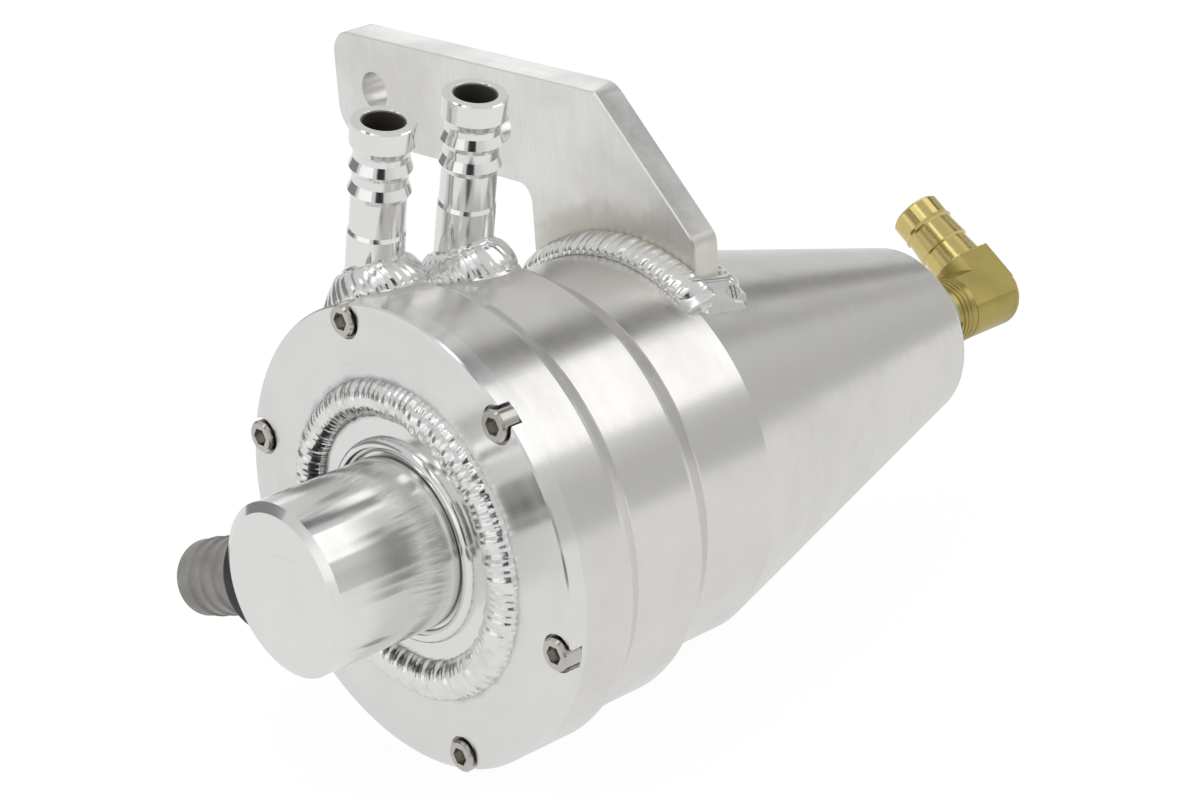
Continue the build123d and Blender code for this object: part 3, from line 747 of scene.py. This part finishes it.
def weldMetal():
    color, shadeColor, grainDepth = (0.84, 0.84, 0.83), (0.70, 0.69, 0.67), 0.004
    material, tree, shader = newMaterial("weldMetal", color, metallic=1.0, roughness=0.24)
    place = placeFrom(tree)
    cloud = addNoise(tree, scale=300, detail=3, roughness=0.6, vector=place)
    shade = addRange(tree, cloud, low=0.4, high=0.75, toLow=0.0, toHigh=0.6)
    tree.links.new(mixColor(tree, shade, color, shadeColor), shader.inputs["Base Color"])
    rough = addRange(tree, cloud, low=0.3, high=0.7, toLow=0.12, toHigh=0.26)
    tree.links.new(rough, shader.inputs["Roughness"])
    grain = addNoise(tree, scale=1500, detail=3, roughness=0.6, vector=place)
    addBump(tree, shader, grain, grainDepth)
    return material


plateFinish = {
    "color": (0.86, 0.855, 0.84), "roughness": 0.26, "brushTurn": 20, "brushScale": (2200, 300, 60),
    "smudges": 0.6, "smudgeColor": (0.76, 0.75, 0.72), "smudgeRoughness": 0.12,
    "grainShade": 0.3, "grainColor": (0.70, 0.69, 0.67), "grainDepth": 0.010, "stretch": 0.3,
    "heatStart": 53.0, "heatReach": 9.0, "heatShare": 0.5, "heatColor": (0.66, 0.62, 0.53),
    "heatRoughness": 0.15,
}


# flat brushed plate with a faint brown heat mark above its weld
def brushedPlate(finish):
    color = finish["color"]
    material, tree, shader = newMaterial("brushedPlate", color, metallic=1.0, roughness=0.30)
    place = placeFrom(tree, axisOrigin)
    brush = tree.nodes.new("ShaderNodeMapping")
    brush.inputs["Rotation"].default_value = (0, math.radians(finish["brushTurn"]), 0)
    brush.inputs["Scale"].default_value = finish["brushScale"]
    tree.links.new(place, brush.inputs["Vector"])
    grain = addNoise(tree, scale=1, detail=3, roughness=0.65, vector=brush.outputs[0])
    lines = useGroup(tree, turnedLines, Place=place)
    marks = useGroup(tree, handling, Place=place, Scale=0.8)
    smudge = smudgeFrom(tree, marks)
    mixed = mixColor(tree, addMath(tree, "MULTIPLY", smudge, finish["smudges"]), color, finish["smudgeColor"])
    grainMask = addRange(tree, grain, low=0.35, high=0.7, toLow=0.0, toHigh=finish["grainShade"])
    mixed = mixColor(tree, grainMask, mixed, finish["grainColor"])
    distance = addMath(tree, "SUBTRACT", lines.outputs["Radius"], finish["heatStart"] * mm)
    heat = useGroup(tree, heatMark, Place=place, Distance=distance, Reach=finish["heatReach"] * mm).outputs[0]
    mixed = mixColor(tree, addMath(tree, "MULTIPLY", heat, finish["heatShare"]), mixed, finish["heatColor"])
    tree.links.new(mixed, shader.inputs["Base Color"])
    rough = addMath(tree, "MULTIPLY", smudge, finish["smudgeRoughness"])
    rough = addMath(tree, "ADD", rough, finish["roughness"])
    rough = addMath(tree, "ADD", rough, addMath(tree, "MULTIPLY", heat, finish["heatRoughness"]))
    tree.links.new(rough, shader.inputs["Roughness"])
    addBump(tree, shader, grain, finish["grainDepth"])
    shader.inputs["Anisotropic"].default_value = finish["stretch"]
    return material


elbow = {
    "forged": (0.47, 0.38, 0.125), "turned": (0.68, 0.55, 0.22), "spots": (0.20, 0.13, 0.05),
    "barbStart": 10.6, "axisY": 116.1, "lean": -52.3, "roughness": 0.3, "smoother": 0.18,
    "smudges": 0.6, "smudgeShade": 0.8, "smudgeRoughness": 0.1, "pits": 0.9,
    "lineShade": 0.15, "lineShare": 0.1, "grainDepth": 0.008,
}


# forged brass body, dull and spotted, with a bright turned barb
def elbowMetal(settings):
    forged = settings["forged"]
    material, tree, shader = newMaterial("elbowBrass", forged, metallic=1.0, roughness=settings["roughness"])
    corner = (canCentre.x, settings["axisY"] * mm, canCentre.z)
    place = placeFrom(tree, corner, (0, math.radians(settings["lean"]), 0))
    split = tree.nodes.new("ShaderNodeSeparateXYZ")
    tree.links.new(place, split.inputs[0])
    turned = addRange(tree, split.outputs[2], low=(settings["barbStart"] - 0.2) * mm,
                      high=(settings["barbStart"] + 0.2) * mm)
    marks = useGroup(tree, handling, Place=place, Scale=1.6)
    smudge = smudgeFrom(tree, marks)
    lines = addNoise(tree, scale=900, detail=2, roughness=0.5, w=split.outputs[2])
    grain = addNoise(tree, scale=2600, detail=2, roughness=0.6, vector=place)
    body = mixColor(tree, addMath(tree, "MULTIPLY", smudge, settings["smudges"]), forged,
                    darker(forged, settings["smudgeShade"]))
    pitMask = addMath(tree, "MULTIPLY", marks.outputs["Pit"], settings["pits"])
    body = mixColor(tree, pitMask, body, settings["spots"])
    lineMask = addRange(tree, lines, low=0.35, high=0.7, toLow=0.0, toHigh=settings["lineShade"])
    barb = mixColor(tree, lineMask, settings["turned"], forged)
    tree.links.new(mixColor(tree, turned, body, barb), shader.inputs["Base Color"])
    rough = addMath(tree, "MULTIPLY", smudge, settings["smudgeRoughness"])
    rough = addMath(tree, "ADD", rough, settings["roughness"])
    rough = addMath(tree, "SUBTRACT", rough, addMath(tree, "MULTIPLY", turned, settings["smoother"]))
    tree.links.new(rough, shader.inputs["Roughness"])
    lineHeight = addMath(tree, "MULTIPLY", lines, addMath(tree, "MULTIPLY", turned, settings["lineShare"]))
    grainHeight = addMath(tree, "MULTIPLY", grain, addMath(tree, "SUBTRACT", 1.0, turned))
    addBump(tree, shader, addMath(tree, "ADD", lineHeight, grainHeight), settings["grainDepth"])
    return material


def matt(name, color, roughness, grainScale, grainDepth):
    shadeShare, smoother, rougher = 0.8, 0.06, 0.08
    material, tree, shader = newMaterial(name, color, metallic=0.0, roughness=roughness)
    place = placeFrom(tree)
    cloud = addNoise(tree, scale=140, detail=4, roughness=0.6, vector=place)
    mixed = mixColor(tree, addRange(tree, cloud, low=0.35, high=0.7), color, darker(color, shadeShare))
    tree.links.new(mixed, shader.inputs["Base Color"])
    rough = addRange(tree, cloud, low=0.3, high=0.7, toLow=roughness - smoother, toHigh=roughness + rougher)
    tree.links.new(rough, shader.inputs["Roughness"])
    grain = addNoise(tree, scale=grainScale, detail=2, roughness=0.5, vector=place)
    addBump(tree, shader, grain, grainDepth)
    return material


turnedCan = turnedMetal("turnedCan", canFinish)
turnedLid = turnedMetal("turnedLid", lidFinish)
brightSpigot = turnedMetal("brightSpigot", spigotFinish)
frontBarbBright = turnedMetal("frontBarbBright", barbFinish(hoseBarbs["front"]))
rearBarbBright = turnedMetal("rearBarbBright", barbFinish(hoseBarbs["rear"]))
weldBright = weldMetal()
plateMetal = brushedPlate(plateFinish)
screwSteel = plainMetal("screwSteel", color=(0.60, 0.575, 0.54), roughness=0.16)
elbowBrass = elbowMetal(elbow)
springSteel = plainMetal("springSteel", color=(0.45, 0.45, 0.45), roughness=0.35)
greyMoulding = matt("greyMoulding", color=(0.30, 0.29, 0.265), roughness=0.42, grainScale=900,
                    grainDepth=0.01)
blackRubber = matt("blackRubber", color=(0.018, 0.018, 0.018), roughness=0.5, grainScale=1200,
                   grainDepth=0.02)
greenSealant = matt("greenSealant", color=(0.50, 0.60, 0.46), roughness=0.4, grainScale=700,
                    grainDepth=0.08)

finishOf = {
    "can_body": turnedCan, "oil_baffle": turnedCan, "vortex_tube": turnedCan,
    "lid": turnedLid, "lid_spigot": brightSpigot,
    "front_hose_barb": frontBarbBright, "rear_hose_barb": rearBarbBright,
    "spigot_weld": weldBright, "front_barb_weld": weldBright, "rear_barb_weld": weldBright,
    "bracket_weld_front": weldBright, "bracket_weld_back": weldBright,
    "mounting_bracket": plateMetal, "drain_elbow": elbowBrass, "thread_sealant": greenSealant,
    "outlet_grommet": blackRubber, "lid_seal": blackRubber, "outlet_barb": greyMoulding,
    "baffle_ring": springSteel,
}


def dress(piece, material):
    piece.data.materials.clear()
    piece.data.materials.append(material)


for name, node in cadNodes.items():
    dress(node, finishOf.get(name, screwSteel))

for piece, material, slotName in (
        (lidBeadPiece, weldBright, "weld_bead"), (frontBarbBeadPiece, weldBright, "weld_bead"),
        (rearBarbBeadPiece, weldBright, "weld_bead"), (bracketBeadPiece, weldBright, "weld_bead"),
        (pipeThreadPiece, elbowBrass, "brass")):
    dress(piece, material)
    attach(piece, "root")


# studio: white floor and surroundings, one soft lamp, and cards that only reflections see

studioCards = [
    {"name": "softBox", "towards": (0.42, 0.613, 0.67), "size": (0.76, 0.9), "roll": -42, "level": 1.4},
    {"name": "darkGap", "towards": (0.005, 0.66, 0.767), "size": (0.30, 1.4), "roll": -18.5, "level": 0.16},
    {"name": "coneGap", "towards": (-0.225, 0.866, 0.446), "size": (0.24, 0.4), "roll": 0, "level": 0.2},
    {"name": "frontGap", "towards": (0.0, -0.60, 0.80), "size": (0.28, 0.9), "roll": 0, "level": 0.2},
    {"name": "upperBox", "towards": (0.395, -0.60, 0.684), "size": (0.66, 0.6), "roll": -44, "level": 0.85},
    {"name": "frontBox", "towards": (0.0, -1.0, 0.08), "size": (1.3, 0.5), "roll": 0, "level": 1.1},
    {"name": "leftDark", "towards": (-0.88, -0.46, 0.14), "size": (1.3, 0.6), "roll": 0, "level": 0.25},
    {"name": "backWall", "towards": (0.30, 0.93, 0.20), "size": (2.6, 0.66), "roll": 0, "level": 0.55},
    {"name": "leftBox", "towards": (-0.72, 0.61, 0.36), "size": (0.5, 0.4), "roll": 0, "level": 1.1},
    {"name": "roomCard", "towards": (0.790, -0.58, 0.20), "size": (1.5, 0.46), "roll": -82, "level": 0.03},
    {"name": "cameraCard", "towards": (0.74, -0.67, 0.03), "size": (0.5, 0.5), "roll": 0, "level": 0.03},
]
studio = {
    "floorHeight": -128.0, "floorSize": 6.0, "paper": (0.9, 0.9, 0.9, 1),
    "floorGlow": 1.06, "floorInMetal": 0.87, "glowShare": 0.88, "worldLevel": 0.68,
    "lamps": [
        {"name": "keyLamp", "place": (0.1, -0.9, 1.4), "size": (1.2, 0.9), "power": 4.0},
    ],
    "cardDistance": 1.4,
    "cards": studioCards,
    "floorPatch": {"place": (0.45, -0.38), "above": 0.5, "size": (0.5, 0.28), "roll": -40, "level": 0.2},
}


def facing(place, target):
    return (Vector(target) - Vector(place)).to_track_quat("-Z", "Y")


def rolled(angle):
    return Quaternion((0, 0, 1), math.radians(angle))


def bareMaterial(name):
    material = bpy.data.materials.new(name)
    material.use_nodes = True
    tree = material.node_tree
    tree.nodes.remove(tree.nodes["Principled BSDF"])
    return material, tree, tree.nodes["Material Output"].inputs["Surface"]


def addGlow(tree, strength):
    glow = tree.nodes.new("ShaderNodeEmission")
    glow.inputs["Color"].default_value = (1, 1, 1, 1)
    feed(tree, glow.inputs["Strength"], strength)
    return glow.outputs[0]


def makeFloor(settings):
    place = (0, 0, settings["floorHeight"] * mm)
    bpy.ops.mesh.primitive_plane_add(size=settings["floorSize"], location=place)
    floor = bpy.context.object
    floor.name = "studioFloor"
    material, tree, surface = bareMaterial("whiteFloor")
    paper = tree.nodes.new("ShaderNodeBsdfDiffuse")
    paper.inputs["Color"].default_value = settings["paper"]
    rays = tree.nodes.new("ShaderNodeLightPath").outputs
    shown = addMath(tree, "MULTIPLY", rays["Is Camera Ray"], settings["floorGlow"])
    glow = addGlow(tree, addMath(tree, "MAXIMUM", shown, settings["floorInMetal"]))
    seen = addMath(tree, "MAXIMUM", rays["Is Camera Ray"], rays["Is Glossy Ray"])
    seen = addMath(tree, "MAXIMUM", seen, rays["Is Transmission Ray"])
    mix = tree.nodes.new("ShaderNodeMixShader")
    tree.links.new(addMath(tree, "MULTIPLY", seen, settings["glowShare"]), mix.inputs[0])
    tree.links.new(paper.outputs[0], mix.inputs[1])
    tree.links.new(glow, mix.inputs[2])
    tree.links.new(mix.outputs[0], surface)
    floor.data.materials.append(material)


def makeWorld(settings):
    world = bpy.data.worlds.new("studioWorld")
    bpy.context.scene.world = world
    world.use_nodes = True
    tree = world.node_tree
    sky = tree.nodes["Background"]
    sky.inputs["Color"].default_value = (1, 1, 1, 1)
    rays = tree.nodes.new("ShaderNodeLightPath").outputs
    strength = addMath(tree, "MAXIMUM", rays["Is Camera Ray"], settings["worldLevel"])
    tree.links.new(strength, sky.inputs["Strength"])


def addLamp(lamp, target):
    light = bpy.data.lights.new(lamp["name"], "AREA")
    light.shape = "RECTANGLE"
    light.size, light.size_y = lamp["size"]
    light.energy = lamp["power"]
    holder = bpy.data.objects.new(lamp["name"], light)
    bpy.context.scene.collection.objects.link(holder)
    holder.location = lamp["place"]
    holder.rotation_mode = "QUATERNION"
    holder.rotation_quaternion = facing(lamp["place"], target)


# a glowing or dark card that neither the camera nor matt surfaces see
def addCard(name, place, turn, size, level):
    bpy.ops.mesh.primitive_plane_add(size=1, location=place)
    plane = bpy.context.object
    plane.name = name
    plane.scale = (*size, 1)
    plane.rotation_mode = "QUATERNION"
    plane.rotation_quaternion = turn
    material, tree, surface = bareMaterial(name)
    tree.links.new(addGlow(tree, level), surface)
    plane.data.materials.append(material)
    plane.visible_camera = False
    plane.visible_shadow = False
    plane.visible_diffuse = False


def makeCards(settings, target):
    for card in settings["cards"]:
        place = target + Vector(card["towards"]).normalized() * settings["cardDistance"]
        turn = facing(place, target) @ rolled(card["roll"])
        addCard(card["name"], place, turn, card["size"], card["level"])
    patch = settings["floorPatch"]               # lies just above the floor, under the camera
    place = Vector((*patch["place"], (settings["floorHeight"] + patch["above"]) * mm))
    addCard("floorPatch", place, rolled(patch["roll"]), patch["size"], patch["level"])


def makeStudio(settings):
    middle = (cadLow + cadHigh) / 2
    makeFloor(settings)
    makeWorld(settings)
    for lamp in settings["lamps"]:
        addLamp(lamp, middle)
    makeCards(settings, middle)


print("studio")
makeStudio(studio)

cameraSettings = {
    "place": (0.59639, -0.48625, 0.22359),
    "right": (0.6785, 0.7318, -0.0651), "up": (-0.2319, 0.2974, 0.9262), "back": (0.6971, -0.6132, 0.3715),
    "lens": 95.28, "sensor": 36.0, "clip": (0.01, 50),
}


def makeCamera(settings):
    data = bpy.data.cameras.new("photoCamera")
    data.lens = settings["lens"]
    data.sensor_width = settings["sensor"]
    data.clip_start, data.clip_end = settings["clip"]
    camera = bpy.data.objects.new("photoCamera", data)
    bpy.context.scene.collection.objects.link(camera)
    turn = Matrix((settings["right"], settings["up"], settings["back"])).transposed()
    camera.matrix_world = Matrix.Translation(settings["place"]) @ turn.to_4x4()
    bpy.context.scene.camera = camera


print("camera")
makeCamera(cameraSettings)
bpy.context.scene.view_settings.view_transform = "Standard"
